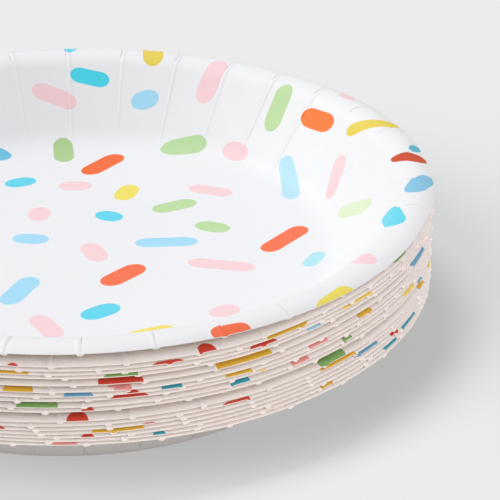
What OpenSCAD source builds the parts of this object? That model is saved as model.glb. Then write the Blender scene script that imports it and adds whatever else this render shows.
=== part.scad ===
// Stack of pressed paper plates, nested rim over rim on one axis.
// Each plate is one moulded sheet: a flat base, a cove, a sloped wall and a rolled brim that ends in a cut lip.
// The sheet is gathered into pleats all round, and the tucked paper behind them keeps two nested plates apart.
// Origin: centre of the lowest underside, +Z up. Sizes are in millimetres and angles in degrees.

/* [Plate] */
// Diameter over the cut edge of the lip
plate_d = 216; // [206:1:240]
// Diameter of the flat base, where the cove starts
base_d = 148; // [130:1:152]
// Thickness of the pressed sheet
sheet = 0.4; // [0.3:0.02:0.5]
// Slope of the wall from level, on a plate whose lip has not sprung
wall_angle = 46.5; // [42:0.5:50]
// Inside radius of the cove between base and wall
cove_r = 11; // [8:0.5:13]
// Radius over the top of the rolled brim
brim_r = 9; // [7:0.5:11]
// Slope of the lip where it is cut
lip_angle = 32; // [20:1:36]

/* [Pleats] */
// Pleats round one plate
pleat_count = 34; // [24:1:40]
// Width of the tucked paper at the lip
tuck_w = 1.8; // [1.2:0.1:2.6]
// How far the tucked paper stands off the underside of the wall
tuck_rise = 0.34; // [0.2:0.02:0.4]
// How much further it stands off at the lip, where it is not pressed flat
lip_bulge = 0.1; // [0:0.02:0.1]
// Length of lip that the loose end of a tuck takes up
lip_tuck = 3.4; // [2:0.2:5]
// Length over which a tuck runs out into the wall
tuck_fade = 3; // [1:0.5:5]
// Width at the lip of the crease that a pleat leaves in the upper face
crease_w = 0.7; // [0.4:0.1:1.2]
// Depth of that crease
crease_deep = 0.14; // [0.06:0.02:0.14]

/* [Stack] */
// Clearance between a plate's tucks and the wall of the plate below
seat_gap = 0.36; // [0.34:0.02:0.6]
// Height that each plate's lip has sprung up or down, lowest plate first
lip_spring = [1.2, 0.8, 0.4, 0, -0.4, -0.8, -1.2, 0.3, -0.1, 0.2, -0.2, -0.4, 0.1, 0.8, 0.4, 0, -0.3, 2];
// Turn of each plate about the axis of the stack, lowest plate first
plate_turn = [0, 37, 112, 205, 268, 331, 49, 142, 222, 297, 14, 101, 178, 251, 323, 65, 154, 10];

/* [Hidden] */
NODES = [
    "plate_01", "plate_02", "plate_03", "plate_04", "plate_05", "plate_06",
    "plate_07", "plate_08", "plate_09", "plate_10", "plate_11", "plate_12",
    "plate_13", "plate_14", "plate_15", "plate_16", "plate_17", "plate_18"
];
$fn = 180;

degree = 180 / PI;
plate_r = plate_d / 2;
base_r = base_d / 2;
lip_end = 90 - lip_angle;
pitch = (sheet + tuck_rise + seat_gap) / cos(wall_angle);

// A tuck needs a straight wall as long as this. Where the plate leaves less, the cove and the brim are rolled tighter.
wall_least = 3 * tuck_fade;
roll_room = plate_r - base_r - wall_least * cos(wall_angle);
tightness = min(1, roll_room / (brim_r * sin(lip_angle) + (cove_r + brim_r) * sin(wall_angle)));
cove = tightness * cove_r;
brim = tightness * brim_r;
cove_centre = [base_r, sheet + cove];

// Chords that stand for the arc of the cove and of the brim in the section.
cove_steps = 4;
brim_steps = 7;

// Slope of a wall whose lip has sprung: the wall swings about the edge of the base.
function sprung(spring) = wall_angle + spring / (plate_r - base_r) * degree;

// Points on an arc round centre c, of radius r, from angle t1 to t2.
function arc(c, r, t1, t2, steps) = [
    for (i = [0 : steps])
        let (t = t1 + (t2 - t1) * i / steps)
            c + r * [cos(t), sin(t)]
];

// Centre of the brim's roll above a wall of slope a. The straight wall is tangent to both arcs.
function brim_centre(a) =
    let (
        r = plate_r - brim * sin(lip_angle),
        run = r - base_r - (cove + brim) * sin(a)
    )
    [r, sheet + cove - (cove + brim) * cos(a) + run * tan(a)];

// Point on the wall of slope a, at distance s up from the cove and depth d under the upper face.
function on_wall(a, s, d) = cove_centre + (cove + d) * [sin(a), -cos(a)] + s * [cos(a), sin(a)];

// Length of the straight wall.
function wall_length(a) = (brim_centre(a)[0] - base_r - (cove + brim) * sin(a)) / cos(a);

// Point on the brim at angle t round its roll and depth d under the upper face.
function on_brim(a, t, d) = brim_centre(a) + (brim - d) * [cos(t), sin(t)];

// The sheet's section line at depth d under the upper face, from the edge of the base to the cut edge.
function section_line(a, d) = concat(
    arc(cove_centre, cove + d, -90, a - 90, cove_steps),
    arc(brim_centre(a), brim - d, 90 + a, lip_end, brim_steps)
);

function reversed(list) = [for (i = [len(list) - 1 : -1 : 0]) list[i]];

// Smooth pressed sheet, from the centre of the base to the cut edge.
module pressed_sheet(a) {
    rotate_extrude()
        polygon(concat([[0, 0]], section_line(a, sheet), reversed(section_line(a, 0)), [[0, sheet]]));
}

// Narrow sector about the X axis, w wide at the lip.
module sector(w) {
    wide = w / plate_r * degree;
    rotate([0, 0, -wide / 2])
        rotate_extrude(angle = wide)
            children();
}

// Once round the plate, at each pleat.
module each_pleat() {
    for (i = [0 : pleat_count - 1])
        rotate([0, 0, i * 360 / pleat_count])
            children();
}

// Crease that a pleat leaves in the upper face of the wall. It runs out at the cove and at the brim.
module wall_crease(a) {
    top = wall_length(a);
    sector(crease_w)
        polygon([
            on_wall(a, tuck_fade / 4, -crease_deep),
            on_wall(a, tuck_fade, crease_deep),
            on_wall(a, top - tuck_fade, crease_deep),
            on_wall(a, top - tuck_fade / 4, -crease_deep)
        ]);
}

// Tucked paper on the underside of the wall, where it is pressed flat and bears on the plate below.
module wall_tuck(a) {
    top = wall_length(a);
    sector(tuck_w)
        polygon([
            on_wall(a, tuck_fade / 4, sheet / 2),
            on_wall(a, tuck_fade / 4, sheet),
            on_wall(a, tuck_fade, sheet + tuck_rise),
            on_wall(a, top - tuck_fade, sheet + tuck_rise),
            on_wall(a, top - tuck_fade / 4, sheet),
            on_wall(a, top - tuck_fade / 4, sheet / 2)
        ]);
}

// Loose end of the tuck under the lip, cut off flush with the sheet.
module lip_tuck_end(a) {
    spread = lip_tuck / brim * degree;
    sector(tuck_w)
        polygon([
            on_brim(a, lip_end, sheet / 2),
            on_brim(a, lip_end, sheet + tuck_rise + lip_bulge),
            on_brim(a, lip_end + spread / 2, sheet + tuck_rise + lip_bulge),
            on_brim(a, lip_end + spread, sheet),
            on_brim(a, lip_end + spread, sheet / 2)
        ]);
}

// One plate, standing on its base at the origin.
module plate(spring) {
    a = sprung(spring);
    difference() {
        pressed_sheet(a);
        each_pleat()
            wall_crease(a);
    }
    each_pleat() {
        wall_tuck(a);
        lip_tuck_end(a);
    }
}

// Plate number i in its place in the stack, counted from the lowest.
module stacked_plate(i) {
    color("white")
        translate([0, 0, i * pitch])
            rotate([0, 0, plate_turn[i]])
                plate(lip_spring[i]);
}

for (i = [0 : len(NODES) - 1])
    stacked_plate(i);
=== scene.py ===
import math
import random

import bmesh
import bpy
import numpy as np
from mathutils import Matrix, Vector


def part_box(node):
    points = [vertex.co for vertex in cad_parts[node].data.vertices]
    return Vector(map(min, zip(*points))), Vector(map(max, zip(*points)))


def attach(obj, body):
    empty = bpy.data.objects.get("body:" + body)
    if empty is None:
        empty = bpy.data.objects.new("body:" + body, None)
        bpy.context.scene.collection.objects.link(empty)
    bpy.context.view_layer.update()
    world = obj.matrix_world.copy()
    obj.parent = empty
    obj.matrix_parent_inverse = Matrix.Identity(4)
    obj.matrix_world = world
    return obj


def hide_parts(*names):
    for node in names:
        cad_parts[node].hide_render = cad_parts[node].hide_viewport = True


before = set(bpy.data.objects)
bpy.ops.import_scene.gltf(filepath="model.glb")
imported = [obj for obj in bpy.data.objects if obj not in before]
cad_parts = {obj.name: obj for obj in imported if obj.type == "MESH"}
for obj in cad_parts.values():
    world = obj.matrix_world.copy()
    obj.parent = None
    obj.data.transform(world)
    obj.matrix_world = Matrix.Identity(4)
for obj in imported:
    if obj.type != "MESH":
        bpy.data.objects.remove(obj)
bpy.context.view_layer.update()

scene = bpy.context.scene
scene.view_settings.view_transform = "Standard"
scene.view_settings.look = "None"

# Table top, light and camera.
# A seamless pale table top under broad, soft studio light that comes mostly from the left.
# The stack's left edge runs out of the picture, as in the photograph.


class Shade:
    """A socket of a node tree that takes part in sums and products."""

    def __init__(self, tree, socket):
        self.tree = tree
        self.socket = socket

    def node(self, kind, settings=None, **inputs):
        """New node of a type: its settings first, then the values or links of its sockets.

        A socket goes by its name, with _ for a space, or by _ and its number.
        """
        made = self.tree.nodes.new(kind)
        for name, value in (settings or {}).items():
            setattr(made, name, value)
        for name, value in inputs.items():
            key = int(name[1:]) if name[0] == "_" else name.replace("_", " ")
            fill(made.inputs[key], value)
        return made

    def out(self, kind, output, settings=None, **inputs):
        """One output of a new node."""
        return Shade(self.tree, self.node(kind, settings, **inputs).outputs[output])

    def math(self, operation, *values):
        """Result of a new Math node on these values."""
        return self.out("ShaderNodeMath", 0, {"operation": operation},
                        **{f"_{i}": value for i, value in enumerate(values)})

    def __add__(self, other):
        return self.math("ADD", self, other)

    def __radd__(self, other):
        return self.math("ADD", other, self)

    def __sub__(self, other):
        return self.math("SUBTRACT", self, other)

    def __rsub__(self, other):
        return self.math("SUBTRACT", other, self)

    def __mul__(self, other):
        return self.math("MULTIPLY", self, other)

    def __rmul__(self, other):
        return self.math("MULTIPLY", other, self)

    def blend(self, first, second):
        """Colour that goes from first to second as this value goes from 0 to 1."""
        return self.out("ShaderNodeMix", 2, {"data_type": "RGBA"}, _0=self, _6=first, _7=second)


def fill(socket, value):
    """Gives a socket its value, or links it."""
    if isinstance(value, Shade):
        value.tree.links.new(value.socket, socket)
    else:
        socket.default_value = value


def feed(shader, **inputs):
    """Gives sockets of a shader, by name with _ for a space, their values or links."""
    for name, value in inputs.items():
        fill(shader.inputs[name.replace("_", " ")], value)


def new_material(name):
    """Material with its Principled shader, and a Shade that its other nodes start from."""
    material = bpy.data.materials.new(name)
    material.use_nodes = True
    tree = material.node_tree
    shader = next(node for node in tree.nodes if node.type == "BSDF_PRINCIPLED")
    return material, shader, Shade(tree, None)


# The table top is a lit panel: part of its brightness is its own, which keeps the stack's shadow light.
PANEL_GREY = (0.06, 0.06, 0.06, 1.0)
PANEL_GLOW = 0.45
PANEL_HALF = 6.0
lit_panel, shader, start = new_material("lit_panel")
feed(shader, Base_Color=PANEL_GREY, Roughness=0.75, Specular_IOR_Level=0.0,
     Emission_Color=(1.0, 1.0, 1.0, 1.0), Emission_Strength=PANEL_GLOW)

bm = bmesh.new()
bmesh.ops.create_grid(bm, x_segments=1, y_segments=1, size=PANEL_HALF)
mesh = bpy.data.meshes.new("table_top")
bm.to_mesh(mesh)
bm.free()
mesh.materials.append(lit_panel)
table_top = bpy.data.objects.new("table_top", mesh)
scene.collection.objects.link(table_top)

# The studio is dim and warm at table height and bright overhead.
HORIZON = (0.42, 0.365, 0.28, 1.0)
OVERHEAD = (1.02, 1.06, 1.13, 1.0)
world = bpy.data.worlds.new("studio")
world.use_nodes = True
start = Shade(world.node_tree, None)
split = start.node("ShaderNodeSeparateXYZ", Vector=start.out("ShaderNodeTexCoord", "Generated"))
height = Shade(world.node_tree, split.outputs["Z"])
feed(world.node_tree.nodes["Background"], Color=height.blend(HORIZON, OVERHEAD))
scene.world = world


def lamp(name, turn, height, spread, energy, colour, lit):
    """Far lamp that lights one collection only.

    turn is its place round the table, in degrees from the right towards the back, height its angle over
    the table, and spread the angle that it takes up.
    """
    light = bpy.data.lights.new(name, "SUN")
    light.energy = energy
    light.angle = math.radians(spread)
    light.color = colour
    lamp_object = bpy.data.objects.new(name, light)
    lamp_object.rotation_euler = (math.radians(90 - height), 0, math.radians(turn + 90))
    lamp_object.light_linking.receiver_collection = lit
    scene.collection.objects.link(lamp_object)


# Two soft lamps on the left model the plates, the lower of them only the uppermost plate. A warm one in
# front and a faint one on the right reach in between the lips. The table's own two keep the shadow short.
whole_stack = bpy.data.collections.new("whole_stack")
lower_stack = bpy.data.collections.new("lower_stack")
upper_plate = bpy.data.collections.new("upper_plate")
table = bpy.data.collections.new("table")
table.objects.link(table_top)
lamp("left_back", 150, 45, 30, 0.5, (1.0, 0.97, 0.93), whole_stack)
lamp("left_low", 180, 20, 30, 0.6, (0.93, 1.0, 1.0), upper_plate)
lamp("front_fill", 302, 24, 25, 0.8, (1.0, 0.58, 0.36), lower_stack)
lamp("right_fill", 325, 20, 30, 0.3, (1.0, 0.96, 0.92), lower_stack)
lamp("table_high", 205, 74, 20, 8.8, (1.0, 1.0, 1.0), table)
lamp("table_low", 225, 38, 36, 15.0, (1.0, 1.0, 1.0), table)

# The camera looks down on the rim's right half, with its target level with the top plate's cut edge.
CAMERA_TARGET = (0.0531, -0.0466, 0.04985)
CAMERA_DISTANCE = 0.7159
CAMERA_DROP = math.radians(26.28)
camera_data = bpy.data.cameras.new("camera")
camera_data.lens = 181.3
camera_data.sensor_width = 36
camera_data.clip_start = 0.05
camera_data.clip_end = 20
camera = bpy.data.objects.new("camera", camera_data)
camera.location = (CAMERA_TARGET[0],
                   CAMERA_TARGET[1] - CAMERA_DISTANCE * math.cos(CAMERA_DROP),
                   CAMERA_TARGET[2] + CAMERA_DISTANCE * math.sin(CAMERA_DROP))
camera.rotation_euler = (math.radians(90) - CAMERA_DROP, 0, 0)
scene.collection.objects.link(camera)
scene.camera = camera

# The printed board.
# The board comes white and clay-coated. Its upper face is printed with short rounded dashes before the round
# blanks are cut, so the print follows the sheet into every fold. The back and the cut edge stay bare.
printed_board, shader, start = new_material("printed_board")
place = start.out("ShaderNodeTexCoord", "Object")
dash = start.node("ShaderNodeAttribute", {"attribute_name": "dash"})
tint = start.node("ShaderNodeAttribute", {"attribute_name": "ink"})
split = start.node("ShaderNodeSeparateXYZ", Vector=Shade(start.tree, dash.outputs["Vector"]))
along, across, half_length = (Shade(start.tree, split.outputs[i]) for i in range(3))
half_width = Shade(start.tree, tint.outputs["Alpha"])
ink_colour = Shade(start.tree, tint.outputs["Color"])

# Each face carries its place beside the nearest dash, so the dash's outline is exact on a coarse mesh.
# The ends of a dash are a little longer than half circles, and the ink bleeds a little at its edge.
END_LENGTH = 1.3
INK_BLEED = 0.12
beyond = start.math("MAXIMUM", start.math("ABSOLUTE", along) - half_length, 0.0) * (1 / END_LENGTH)
outside = start.math("SQRT", beyond * beyond + across * across) - half_width
printed = start.out("ShaderNodeMapRange", "Result", {"interpolation_type": "SMOOTHSTEP"},
                    Value=outside, From_Min=-INK_BLEED, From_Max=INK_BLEED, To_Min=1.0, To_Max=0.0)

# The coating is mottled and has a faint grain of fibres.
PAPER_WHITE = (0.905, 0.9, 0.915, 1.0)
PAPER_SHADE = (0.885, 0.88, 0.895, 1.0)
GRAIN_DEPTH = 0.0002
mottle = start.out("ShaderNodeTexNoise", "Fac", Vector=place, Scale=240.0, Detail=3.0, Roughness=0.6)
fibre = start.out("ShaderNodeTexNoise", "Fac", Vector=place, Scale=2600.0, Detail=2.0, Roughness=0.5)
colour = printed.blend(mottle.blend(PAPER_SHADE, PAPER_WHITE), ink_colour)
grain = start.out("ShaderNodeBump", "Normal", Strength=0.05, Distance=GRAIN_DEPTH, Height=fibre + mottle)
feed(shader, Base_Color=colour, Roughness=0.34 + 0.1 * mottle + 0.05 * printed, Normal=grain,
     Specular_IOR_Level=0.42)

# The back is plain board, mottled. Its grey is painted shade, darker than the white board, so that the
# underside below the lowest lip sinks into the shadow on the table.
SHADED_BOARD_LIGHT = (0.61, 0.61, 0.61, 1.0)
SHADED_BOARD_DARK = (0.55, 0.55, 0.55, 1.0)
shaded_bare_board, shader, start = new_material("shaded_bare_board")
place = start.out("ShaderNodeTexCoord", "Object")
fibre = start.out("ShaderNodeTexNoise", "Fac", Vector=place, Scale=1500.0, Detail=4.0, Roughness=0.65)
grain = start.out("ShaderNodeBump", "Normal", Strength=0.12, Distance=GRAIN_DEPTH, Height=fibre)
feed(shader, Base_Color=fibre.blend(SHADED_BOARD_DARK, SHADED_BOARD_LIGHT), Roughness=0.8, Normal=grain,
     Specular_IOR_Level=0.2)

# The cut edge shows the lighter and warmer core of the board.
EDGE_LIGHT = (0.95, 0.93, 0.91, 1.0)
EDGE_DARK = (0.9, 0.87, 0.85, 1.0)
cut_edge, shader, start = new_material("cut_edge")
place = start.out("ShaderNodeTexCoord", "Object")
fibre = start.out("ShaderNodeTexNoise", "Fac", Vector=place, Scale=1800.0, Detail=3.0, Roughness=0.6)
feed(shader, Base_Color=fibre.blend(EDGE_DARK, EDGE_LIGHT), Roughness=0.85, Specular_IOR_Level=0.2)


def srgb(red, green, blue):
    """Linear colour of a shade that a screen shows with these three numbers."""
    linear = []
    for part in (red, green, blue):
        share = part / 255
        linear.append(share / 12.92 if share <= 0.04045 else ((share + 0.055) / 1.055) ** 2.4)
    return (*linear, 1.0)


# Inks of the print, and one cyan darkened as painted shade.
CYAN = srgb(94, 217, 240)
PALE_CYAN = srgb(180, 234, 244)
TURQUOISE = srgb(68, 219, 241)
# Cyan darkened as painted shade, for the small dash far right on the brim, which lies in shade.
SHADED_CYAN = srgb(77, 185, 207)
AZURE = srgb(105, 198, 229)
SKY = srgb(168, 224, 250)
PALE_SKY = srgb(186, 230, 248)
PINK = srgb(252, 214, 217)
CORAL = srgb(252, 112, 66)
RUST = srgb(208, 64, 6)
ORANGE = srgb(248, 120, 32)
TANGERINE = srgb(250, 102, 12)
YELLOW = srgb(247, 227, 92)
AMBER = srgb(236, 211, 80)
GREEN = srgb(191, 223, 162)
SAGE = srgb(176, 209, 143)
PALE_GREEN = srgb(224, 239, 203)
BLUE = srgb(134, 198, 230)

# The print on the flat blank, dash by dash: its ink, how far the middles of its two round ends lie right of
# and behind the centre, and its width, in millimetres.
PRINT = [
    (CYAN, -8.5, 118, -8.4, 114.3, 6.4), (TURQUOISE, -4.4, 102.2, 3.4, 100.4, 5.4),
    (PINK, -18, 95.6, -7.6, 92.6, 5.8), (AMBER, 22, 118, 22.5, 107.3, 7),
    (SKY, 17.5, 92, 20.5, 92.5, 6.6), (PINK, 46, 99.5, 40.6, 90.2, 6.8), (GREEN, 70.5, 79, 64, 70.5, 6.5),
    (GREEN, 27.2, 72.9, 35.6, 73, 7.4), (SAGE, -9, 76.4, -8, 67, 6.6), (TANGERINE, 8.5, 66.5, 1.5, 57, 7),
    (PINK, 47.5, 67, 50, 65, 6.8), (AZURE, -34, 70, -29.5, 68.5, 8.4),
    (ORANGE, 78.3, 64.3, 83.8, 58.4, 6.8), (PINK, 92, 69.5, 93.5, 67.5, 4.6),
    (CYAN, -22.5, 47, -19, 48.5, 6.6), (PINK, -5, 45, -1, 45, 6.8), (YELLOW, 14.5, 42.5, 13, 37.5, 6.8),
    (PINK, 36.5, 43, 44.5, 40, 6.2), (GREEN, 25.5, 28, 33, 32, 6.6),
    (PALE_SKY, 65.9, 53, 66.3, 37.8, 5.8), (AMBER, 93.4, 47.4, 107, 43.6, 4.8),
    (PINK, 86, 38.5, 80.5, 29.5, 5.6), (PINK, -13, 25.5, -13, 22.5, 7), (CYAN, 8, 23, 10, 22, 7),
    (SHADED_CYAN, 114, 25.2, 113.6, 23.4, 4), (RUST, 108.8, 16.6, 114.5, 14, 5.8),
    (GREEN, 39.5, 15.5, 43.5, 14, 7), (PALE_GREEN, 83.6, 15.6, 93.2, 6.2, 5.4),
    (SKY, -16.5, 6.5, -12, 6, 6.8), (SKY, 21, 3.5, 34, 4.5, 6.2), (BLUE, 116.2, -0.8, 112.1, -9.1, 6.8),
    (PINK, 4.5, 0, 7, -6, 6.8), (CORAL, 68.3, 12.4, 59.2, 0.2, 6.2),
    (PALE_CYAN, 73.8, -5, 71, -10.6, 4.6), (PINK, 37.5, -10, 51.5, -13, 6.2),
    (CORAL, 18.5, -14.5, 12, -22, 7.2), (CYAN, 102.6, -19.2, 104.6, -32.2, 7),
    (SKY, -12.5, -23, -17, -34, 7), (PINK, 92.2, -57.2, 93.4, -59.8, 8.4),
    (PINK, 44.5, -42, 47, -40.5, 6.8), (CYAN, 7.5, -43.5, 12, -40, 7.2), (PINK, -7.5, -47, -3, -55, 6.4),
    (YELLOW, 20.8, -56.6, 29, -53, 6), (CORAL, 48.5, -106, 56, -102.8, 5),
    (YELLOW, 81, -88, 87.5, -79.5, 7),
]


def place_dash(reach, spot, lie, half_length, half_width):
    """Middle, direction, half length and half width of a dash.

    reach is how far its middle lies from the centre, spot is the angle of that place, and lie its own angle.
    """
    return (reach * math.cos(spot), reach * math.sin(spot), math.cos(lie), math.sin(lie),
            half_length, half_width)


def dash_between(x1, y1, x2, y2, width, turn=0.0):
    """Dash with its round ends at two places, turned about the centre."""
    half = 0.5 * math.hypot(x2 - x1, y2 - y1) - (END_LENGTH - 1) * width / 2
    reach = 0.5 * math.hypot(x1 + x2, y1 + y2)
    spot = math.atan2(y1 + y2, x1 + x2) + turn
    lie = math.atan2(y2 - y1, x2 - x1) + turn
    return place_dash(reach, spot, lie, max(half, 0), width / 2)


# The left part of the print, which the picture cuts off, is the right part turned half round.
REPEATED_FROM = 36
whole_print = [(ink, dash_between(*ends)) for ink, *ends in PRINT]
for ink, *ends in PRINT:
    if (ends[0] + ends[2]) / 2 > REPEATED_FROM:
        whole_print.append((ink, dash_between(*ends, turn=math.pi)))

# The pressed plate.
# A round blank is pressed hot between two dies into base, cove, wall and rolled brim. The rim is longer than
# the room that it is given, so it gathers into 34 folds, which the die presses flat on the wall.
MM = 0.001
PLATE_R = 108.0
BASE_R = 74.0
SHEET = 0.4
COVE_R = 11.0
BRIM_R = 9.0
LIP_END = math.radians(58)
WALL_SLOPE = math.radians(46.5)
FOLDS = 34
FOLD_PITCH = 2 * math.pi / FOLDS
PLATE_TURN = [0, 37, 112, 205, 268, 331, 49, 142, 222, 297, 14, 101, 178, 251, 323, 65, 154, 10]
LIP_SPRING = [1.2, 0.8, 0.4, 0, -0.4, -0.8, -1.2, 0.3, -0.1, 0.2, -0.2, -0.4, 0.1, 0.8, 0.4, 0, -0.3, 2]
PLATES = len(PLATE_TURN)

# Radii on the blank at which zones 0 to 4 lie: centre, edge of the base, foot and top of the wall, and cut.
ZONES = (0, BASE_R, 83.0, 105.0, 118.0)

# Section across a fold: distance after it, and height over the smooth press. The upper face steps down
# there, and on the brim the step opens into a narrow mouth. Behind it lies the tucked paper.
FOLD_STEP = ([-1.0, -0.85, 0.0, 0.2, 1.0, 1.7], [0.0, 0.09, 0.09, -0.09, -0.03, 0.0])
FOLD_MOUTH = ([0.2, 0.45, 0.7], [0.0, -0.5, 0.0])
TUCK_HALF = 0.9
TUCK_RISE = 0.34
LIP_BULGE = 0.1

# The zones at which each form of a fold or panel begins and is full, and at which it wanes and has ended.
STEP_ZONES = (1.3, 2.2)
MOUTH_ZONES = (3.3, 3.4, 3.65, 3.8)
WALL_TUCK_ZONES = (2.03, 2.14, 2.86, 2.97)
BRIM_TUCK_ZONES = (3.1, 3.25)
BULGE_ZONES = (3.74, 3.86)
PUFF_ZONES = (1.5, 2.5, 3.2, 4.3)
SLANT_ZONES = (3.0, 3.9)
LOOSE_ZONES = (3.85, 4.0)

# The lip's waves up and down: how many go round, how high they are, and their drift from plate to plate.
LIP_WAVES = ((2, 0.24, 1.0), (3, 0.16, -0.7), (7, 0.09, 1.3))
WAVE_DRIFT = 0.42

# What is drawn for each panel between two folds, its lean and bulge, and for each fold: depth, slant in
# millimetres along the lip, and reach of its loose end.
FOLD_DRAWS = ((-1, 1), (-0.4, 1), (0.5, 1.2), (-0.9, 0.5), (0.2, 1))

# Height over which a whole lean tilts a panel, height of a whole bulge, and the share of a panel that each
# of its folds holds still.
PANEL_LEAN = 0.14
PANEL_PUFF = 0.1
PANEL_HELD = 0.08

# A fold's slant fades out over this distance beside it.
SLANT_REACH = 5

# Azimuths at which the fanning out of the lower lips on the right begins, is full, wanes and has ended.
FAN_AZIMUTHS = (-66, -40, 5, 35)

# An edge between two faces is a sharp one from this angle on.
SHARP_FROM = math.radians(40)

# Stands for no distance from the centre, so that nothing is divided by 0.
TINY = 0.001


def smooth_step(value, low, high):
    """Goes smoothly from 0 at low to 1 at high."""
    share = np.clip((value - low) / (high - low), 0, 1)
    return share * share * (3 - 2 * share)


def swell(value, begin, full, wane, end):
    """Goes smoothly from 0 at begin to 1 between full and wane, and back to 0 at end."""
    return smooth_step(value, begin, full) * smooth_step(value, end, wane)


def press(zone, depth, slope, overhang=0.0):
    """Radius, height and distance along the sheet of a point of the pressed sheet.

    zone runs from 0 at the centre to 1 at the cove, 2 at the wall, 3 at the brim and 4 at the cut edge,
    depth is counted down from the upper face, and overhang is how far the sheet reaches past its place.
    """
    brim_x = PLATE_R - BRIM_R * math.cos(LIP_END)
    wall = (brim_x - BASE_R - (COVE_R + BRIM_R) * np.sin(slope)) / np.cos(slope)
    brim_z = SHEET + COVE_R - (COVE_R + BRIM_R) * np.cos(slope) + wall * np.sin(slope)
    bend = slope * np.clip(zone - 1, 0, 1)
    climb = wall * np.clip(zone - 2, 0, 1)
    lean = math.pi / 2 + slope
    roll = lean - (lean - LIP_END) * np.clip(zone - 3, 0, 1) - overhang / BRIM_R
    radius = BASE_R + (COVE_R + depth) * np.sin(bend) + climb * np.cos(slope)
    height = SHEET + COVE_R - (COVE_R + depth) * np.cos(bend) + climb * np.sin(slope)
    radius = np.where(zone < 1, BASE_R * zone, radius)
    height = np.where(zone < 1, SHEET - depth, height)
    radius = np.where(zone > 3, brim_x + (BRIM_R - depth) * np.cos(roll), radius)
    height = np.where(zone > 3, brim_z + (BRIM_R - depth) * np.sin(roll), height)
    length = BASE_R * np.clip(zone, 0, 1) + COVE_R * bend + climb + BRIM_R * (lean - roll)
    return radius, height, length


def cut_blank(name, upper_rings, lower_rings, columns):
    """Flat round blank: its printed face up, its cut edge, and its back, with this many columns a fold."""
    bm = bmesh.new()
    section = [bm.verts.new((ring, 0, 0)) for ring in upper_rings]
    section += [bm.verts.new((ring, 0, -SHEET)) for ring in reversed(lower_rings)]
    edges = [bm.edges.new(pair) for pair in zip(section, section[1:])]
    bmesh.ops.spin(bm, geom=section + edges, cent=(0, 0, 0), axis=(0, 0, 1), angle=2 * math.pi,
                   steps=FOLDS * columns, use_merge=True, use_duplicate=False)
    bmesh.ops.remove_doubles(bm, verts=bm.verts, dist=0.001)
    bmesh.ops.recalc_face_normals(bm, faces=bm.faces)
    blank = bpy.data.meshes.new(name)
    bm.to_mesh(blank)
    bm.free()
    return blank


def fold_relief(beside, zone, strength):
    """Height of the upper face over the smooth press, beside a fold that lies at 0."""
    step = smooth_step(zone, *STEP_ZONES) * strength * np.interp(beside, *FOLD_STEP)
    mouth = swell(zone, *MOUTH_ZONES) * np.interp(beside, *FOLD_MOUTH)
    return step + mouth


def tuck_depth(beside, zone):
    """How far the tucked paper stands off the back of the sheet, beside a fold that lies at 0."""
    on_wall = swell(zone, *WALL_TUCK_ZONES) * TUCK_RISE
    on_brim = smooth_step(zone, *BRIM_TUCK_ZONES) * TUCK_RISE
    at_lip = smooth_step(zone, *BULGE_ZONES) * LIP_BULGE
    return (np.abs(beside) < TUCK_HALF) * (on_wall + on_brim + at_lip)


def face_corners(mesh):
    """Vertex of each face corner, number of corners of each face, and each face's first corner."""
    vertex = np.empty(len(mesh.loops), int)
    mesh.loops.foreach_get("vertex_index", vertex)
    count = np.empty(len(mesh.polygons), int)
    mesh.polygons.foreach_get("loop_total", count)
    first = np.concatenate(([0], np.cumsum(count)[:-1]))
    return vertex, count, first


def beside_dash(x, y, dash):
    """How far a place on the blank lies from a dash's middle, along it and across it."""
    middle_x, middle_y, ahead_x, ahead_y = dash[:4]
    along = (x - middle_x) * ahead_x + (y - middle_y) * ahead_y
    across = (y - middle_y) * ahead_x - (x - middle_x) * ahead_y
    return along, across


def nearest_dash(x, y, dashes):
    """Number of the dash that lies nearest to each place on the blank."""
    least_gap = np.full(len(x), np.inf)
    nearest = np.zeros(len(x), int)
    for number, dash in enumerate(dashes):
        along, across = beside_dash(x, y, dash)
        half_length, half_width = dash[4:]
        gap = np.hypot(np.maximum(np.abs(along) - half_length, 0), across) - half_width
        closer = gap < least_gap
        least_gap[closer] = gap[closer]
        nearest[closer] = number
    return nearest


def lay_print(mesh, flat, angle, smooth_radius, length, turn, printed_dashes):
    """Gives each face corner its place beside the dash nearest to its face, and that dash's ink.

    Between two folds the print keeps its length along the rim, and what is left of it is hidden in the
    folds. flat are the points of the blank. angle, smooth_radius and length say where each lies on the
    pressed plate: round the axis before the plate's turn, out from the axis, and along the sheet.
    """
    vertex, count, first = face_corners(mesh)
    face_of_corner = np.repeat(np.arange(len(count)), count)
    middle_x = np.add.reduceat(flat[vertex, 0], first) / count
    middle_y = np.add.reduceat(flat[vertex, 1], first) / count
    panel = np.floor(np.arctan2(middle_y, middle_x) / (2 * math.pi) % 1 * FOLDS)
    panel_middle = (panel[face_of_corner] + 0.5) * FOLD_PITCH
    swing = (angle[vertex] - panel_middle + math.pi) % (2 * math.pi) - math.pi
    reach = length[vertex]
    blank_angle = panel_middle + swing * smooth_radius[vertex] / np.maximum(reach, TINY) + turn
    blank_x = reach * np.cos(blank_angle)
    blank_y = reach * np.sin(blank_angle)
    face_x = np.add.reduceat(blank_x, first) / count
    face_y = np.add.reduceat(blank_y, first) / count

    dashes = np.array([dash for _, dash in printed_dashes])
    inks = np.array([ink[:3] for ink, _ in printed_dashes])
    chosen = nearest_dash(face_x, face_y, dashes)[face_of_corner]
    along, across = beside_dash(blank_x, blank_y, dashes[chosen].T)
    half_length, half_width = dashes[chosen, 4:].T
    place = mesh.attributes.new("dash", "FLOAT_VECTOR", "CORNER")
    place.data.foreach_set("vector", np.column_stack((along, across, half_length)).ravel())
    tint = mesh.attributes.new("ink", "FLOAT_COLOR", "CORNER")
    tint.data.foreach_set("color", np.column_stack((inks[chosen], half_width)).ravel())


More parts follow.
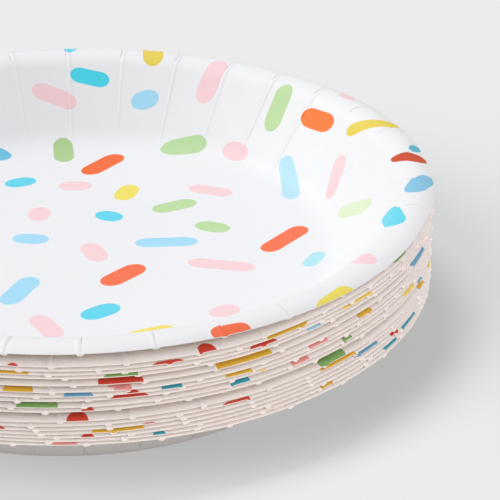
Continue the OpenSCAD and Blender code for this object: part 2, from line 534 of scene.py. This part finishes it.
def finish_faces(mesh, on_back):
    """Printed board on the upper face, bare board on the back, and the cut edge between them."""
    vertex, count, first = face_corners(mesh)
    back_corners = np.add.reduceat(on_back[vertex].astype(int), first)
    for material in (printed_board, cut_edge, shaded_bare_board):
        mesh.materials.append(material)
    # A face with no corner on the back is printed, and one with all its corners there is bare.
    finish = (back_corners > 0).astype(int) + (back_corners == count)
    mesh.polygons.foreach_set("material_index", finish)
    mesh.shade_smooth()
    mesh.set_sharp_from_angle(angle=SHARP_FROM)
    mesh.update()


def press_plate(number, blank, offsets, printed_dashes, fan, loose):
    """Printed and pressed plate in its place in the stack, counted from the lowest.

    offsets are the places of the blank's columns after a fold, in millimetres along the lip, fan lifts the
    lip on the right, and loose is the most that a fold's end reaches past the cut edge.
    """
    node = f"plate_{number:02d}"
    mesh = blank.copy()
    mesh.name = f"pressed_{node}"
    turn = math.radians(PLATE_TURN[number - 1])
    flat = np.empty(len(mesh.vertices) * 3)
    mesh.vertices.foreach_get("co", flat)
    flat = flat.reshape(-1, 3)
    zone = np.interp(np.hypot(flat[:, 0], flat[:, 1]), ZONES, range(len(ZONES)))
    columns = len(offsets)
    column = np.round(np.arctan2(flat[:, 1], flat[:, 0]) / (2 * math.pi) * FOLDS * columns).astype(int)
    column %= FOLDS * columns
    panel = column // columns
    offset = np.array(offsets)[column % columns] / PLATE_R
    share = offset / FOLD_PITCH
    beside = np.where(offset < FOLD_PITCH / 2, offset, offset - FOLD_PITCH) * PLATE_R
    nearest_fold = np.where(share < 0.5, panel, panel + 1) % FOLDS
    angle = panel * FOLD_PITCH + offset
    world_angle = angle + turn

    # The lip wanders up and down a little, and each panel between two folds leans its own way.
    chance = random.Random(number)
    lean, bulge, fold_depth, slant, loose_end = (
        np.array([chance.uniform(low, high) for _ in range(FOLDS)]) for low, high in FOLD_DRAWS)
    drift = WAVE_DRIFT * number
    lift = sum(height * np.sin(waves * world_angle + shift * drift) for waves, height, shift in LIP_WAVES)
    free = swell(share, 0, PANEL_HELD, 1 - PANEL_HELD, 1)
    lift += PANEL_LEAN * lean[panel] * (share - 0.5) * free
    azimuth = (np.degrees(world_angle) + 180) % 360 - 180
    lift += fan * swell(azimuth, *FAN_AZIMUTHS)
    slope = WALL_SLOPE + (LIP_SPRING[number - 1] + lift) / (PLATE_R - BASE_R)

    # A fold runs aslant over the brim, and its loose end, 2 mm wide, reaches past the cut edge.
    near = np.clip(1 - np.abs(beside) / SLANT_REACH, 0, 1)
    skew = slant[nearest_fold] / PLATE_R * smooth_step(zone, *SLANT_ZONES) * near
    angle = angle + skew
    world_angle = world_angle + skew
    overhang = loose_end[nearest_fold] * loose * np.clip(3 - 3 * np.abs(beside), 0, 1)
    overhang *= smooth_step(zone, *LOOSE_ZONES)

    # Each panel bulges or sinks, most in its middle. A fold steps down in the upper face, and the tucked
    # paper stands off the back.
    on_back = flat[:, 2] < -SHEET / 2
    puff = PANEL_PUFF * bulge[panel] * free * 4 * share * (1 - share)
    puff *= swell(zone, *PUFF_ZONES)
    relief = fold_relief(beside, zone, fold_depth[nearest_fold])
    depth = np.where(on_back, SHEET + tuck_depth(beside, zone), -relief) - puff
    radius, height, length = press(zone, depth, slope, overhang)
    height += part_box(node)[0].z / MM
    spot = np.column_stack((radius * np.cos(world_angle), radius * np.sin(world_angle), height)) * MM
    mesh.vertices.foreach_set("co", spot.ravel())
    smooth_radius = press(zone, 0.0, slope)[0]
    lay_print(mesh, flat, angle, smooth_radius, length, turn, printed_dashes)
    finish_faces(mesh, on_back)

    plate = bpy.data.objects.new(mesh.name, mesh)
    scene.collection.objects.link(plate)
    whole_stack.objects.link(plate)
    part_of_stack = upper_plate if number == PLATES else lower_stack
    part_of_stack.objects.link(plate)
    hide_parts(node)
    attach(plate, "root")


# The lower seventeen plates.
# They carry the same print, each turned its own way, and show only the outer slope of the brim, the cut edge
# and the ends of the tucks. Each lip has sprung to its own height.
# Inks of the lower lips as they look there. Most are the print's own inks darkened as painted shade for the
# shade between the lips: gold for yellow, red for coral, teal for cyan, sea for sky, leaf for green, rose
# for pink. Straw is a paler yellow.
SHADED_GOLD = srgb(224, 184, 62)
SHADED_RED = srgb(206, 68, 50)
SHADED_TEAL = srgb(60, 165, 190)
SHADED_SEA = srgb(110, 175, 215)
SHADED_LEAF = srgb(130, 180, 108)
SHADED_ROSE = srgb(238, 160, 160)
STRAW = srgb(248, 222, 120)

# Dashes on the lips that the picture shows: ink, plate, degrees round from the front to both ends, distance
# of the middle from the centre of the blank, and width.
LIP_DASHES = [
    (SHADED_RED, 17, -6, -4, 118, 4), (SHADED_RED, 17, 21.5, 24.5, 117.2, 6), (SHADED_LEAF, 17, 60, 67, 114, 6),
    (SHADED_RED, 16, 14, 20, 118, 5), (SHADED_GOLD, 16, 32.5, 40, 116, 6), (SHADED_GOLD, 15, -7, -3, 117, 6),
    (SHADED_RED, 15, 29, 34.5, 118, 5), (STRAW, 15, 47, 54.5, 118, 5), (SHADED_LEAF, 14, 7.5, 13, 118, 5),
    (SKY, 14, 39.5, 42.5, 118, 4), (SHADED_RED, 13, 7, 13, 116, 6), (SHADED_GOLD, 13, 24.5, 33, 116, 6),
    (SHADED_SEA, 13, 68, 75, 115, 7), (STRAW, 12, 4.5, 7.5, 119, 4), (SHADED_ROSE, 12, 8, 12, 116, 5),
    (SHADED_GOLD, 12, -6.5, -2.5, 116, 6), (SHADED_GOLD, 12, 50.5, 54.5, 117, 5), (SHADED_SEA, 11, 2, 6, 117, 6),
    (SHADED_TEAL, 11, 15.5, 19, 117, 6), (SHADED_RED, 11, 11.5, 12.5, 118, 4), (SHADED_GOLD, 11, 25.5, 29.5, 117, 6),
    (SHADED_ROSE, 11, 40, 44, 117, 6), (SHADED_RED, 10, 8.5, 14, 118, 5), (STRAW, 10, 30.5, 33, 119, 4),
    (SHADED_LEAF, 9, -4.5, 1, 116, 6), (SHADED_TEAL, 9, 26.5, 30, 117, 6), (SHADED_ROSE, 9, 37, 40.5, 117, 6),
    (SHADED_LEAF, 9, 47.5, 49.5, 118, 4), (STRAW, 9, 64.5, 69.5, 116, 6), (SHADED_RED, 8, 4, 6.5, 118, 4),
    (SHADED_RED, 7, 2.5, 5.5, 116.2, 6), (SHADED_LEAF, 7, 42, 48, 115, 6), (SHADED_GOLD, 6, 42.5, 50, 117, 6),
    (SHADED_RED, 6, 24.5, 30, 118, 5), (SHADED_RED, 5, 12.5, 15.5, 118, 4), (SHADED_RED, 5, -8, -6.5, 118, 4),
    (SHADED_SEA, 5, 49.5, 56, 116, 7), (SHADED_GOLD, 4, 5.5, 13.5, 117, 6), (SHADED_RED, 4, 60, 62.5, 117, 6),
    (SHADED_RED, 3, 4, 6.5, 118, 4), (SHADED_TEAL, 3, 64, 70, 116, 7), (SHADED_TEAL, 2, 14.5, 16.5, 118, 4),
    (SHADED_ROSE, 1, 0, 3.5, 118, 4), (SHADED_GOLD, 2, 42, 45.5, 117, 6), (SHADED_TEAL, 2, 58, 62, 116, 6),
    (SHADED_SEA, 8, 71, 73.5, 116, 6), (SHADED_GOLD, 7, 72.5, 75, 116, 7),
]

# The picture shows the lips between these degrees from the front. A dash is on the lip if it lies further
# from the centre than this, and one that lies across the lip has this half length.
FRONT_ARC = (-12, 82)
LIP_FROM = 96
SHORT_DASH = 3

# From one plate to the next, the print is turned by so many degrees, and the lips fan out by so many
# millimetres.
PRINT_TURN = 47
LIP_FAN = 0.115


def lower_print(number):
    """Dashes of a lower plate: the whole print, turned, but on the front lip what the picture shows."""
    turn = math.radians(PRINT_TURN * number)
    dashes = []
    for ink, (x, y, ahead_x, ahead_y, half_length, half_width) in whole_print:
        reach = math.hypot(x, y)
        spot = math.atan2(y, x) + turn
        lie = math.atan2(ahead_y, ahead_x) + turn
        from_front = (math.degrees(spot) + 90 + 180) % 360 - 180
        in_front = reach > LIP_FROM and FRONT_ARC[0] < from_front < FRONT_ARC[1]
        if not in_front:
            dashes.append((ink, place_dash(reach, spot, lie, half_length, half_width)))
    for ink, plate, start_at, end_at, reach, width in LIP_DASHES:
        if plate != number:
            continue
        spot = math.radians((start_at + end_at) / 2 - 90)
        lie = spot + math.pi / 2
        half_length = reach * math.sin(math.radians(end_at - start_at) / 2) - END_LENGTH * width / 2
        # A dash that shows shorter than its width is the end of one that lies across the lip.
        if half_length < 0:
            half_length = SHORT_DASH
            lie = spot
            reach += SHORT_DASH
        dashes.append((ink, place_dash(reach, spot, lie, half_length, width / 2)))
    return dashes


upper_rings = [*range(0, 72, 6), 71, 74, 76.5, 79, 81, 83, 85.5, 89, 94, 99, 102.5, 105,
               106, 107, 108, 109.2, 110.4, 111.6, 112.8, 113.9, 115, 116, 117, 118]
lower_rings = [0, 40, 74, 78.5, 83, 83.7, 86, 102, 104.3, 105, 109, 112, 114.4, 116, 118]
offsets = [0, 0.3, 0.85, 1.0, 3.5, 9.98, 16.4, 18.96, 19.11, 19.6]
lower_blank = cut_blank("lower_blank", upper_rings, lower_rings, len(offsets))
for number in range(1, PLATES):
    press_plate(number, lower_blank, offsets, lower_print(number), fan=LIP_FAN * number, loose=0.6)

# The top plate.
# The uppermost plate shows its whole printed face, with the folds as fine creases up the wall and small
# open mouths on the brim, so its blank has more rings and columns.
upper_rings = [*range(0, 72, 3), 72, 74, 76, 78, 80, 81.5, 83, 85, 87, 89.5, 92, 94.5, 97, 99.5, 102, 103.5,
               105, 105.8, 106.6, 107.4, 108.2, 109, 109.8, 110.6, 111.4, 112.2, 113, 113.8, 114.6, 115.3,
               116, 116.7, 117.4, 118]
lower_rings = [0, 40, 74, 76.5, 79, 81, 83, 83.7, 86, 94, 102, 104.3, 105, 107, 109, 111, 112.8, 114.4,
               115.2, 116, 117, 118]
offsets = [0, 0.2, 0.45, 0.7, 0.85, 1.0, 1.7, 3.6, 6.0, 8.6, 11.3, 13.9, 16.3, 18.26, 18.96, 19.11,
           19.4, 19.7]
top_blank = cut_blank("top_blank", upper_rings, lower_rings, len(offsets))
press_plate(PLATES, top_blank, offsets, whole_print, fan=0, loose=0.35)

bpy.data.meshes.remove(lower_blank)
bpy.data.meshes.remove(top_blank)
